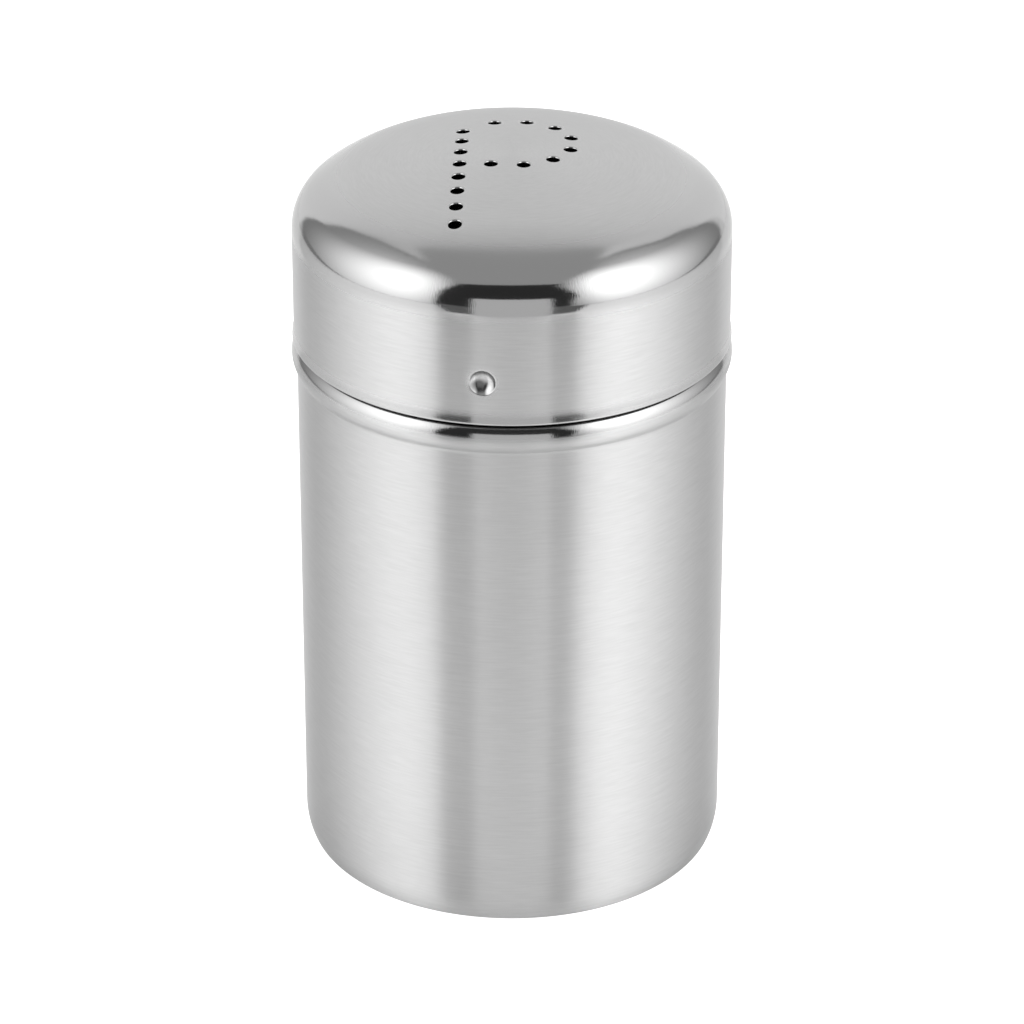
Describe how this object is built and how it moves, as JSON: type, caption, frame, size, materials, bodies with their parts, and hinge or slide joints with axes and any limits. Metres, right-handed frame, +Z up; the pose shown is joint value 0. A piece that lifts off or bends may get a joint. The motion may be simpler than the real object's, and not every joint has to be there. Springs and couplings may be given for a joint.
{
  "type": "pepper shaker",
  "caption": "Satin stainless steel pepper shaker: a drawn can with a rolled bead and a domed bayonet lid with punched pour holes.",
  "frame": {"origin": "middle of the can's flat underside, on the table", "axes": "+Z up along the axis of the can and the lid, -Y towards the front, +X to the right as seen from the front"},
  "size_m": [0.0512, 0.0512, 0.0877],
  "materials": {
    "can_steel": "stainless steel sheet, satin, brushed round the wall",
    "lid_steel": "stainless steel sheet, satin skirt and dome, smoother bright shoulder"
  },
  "bodies": {
    "can": {"can": "can_steel"},
    "lid": {"lid": "lid_steel"}
  },
  "joints": [
    {"name": "lid_lift", "type": "slide", "parent": "can", "child": "lid", "axis": [0, 0, 1], "range_m": [0, 0.03]}
  ]
}
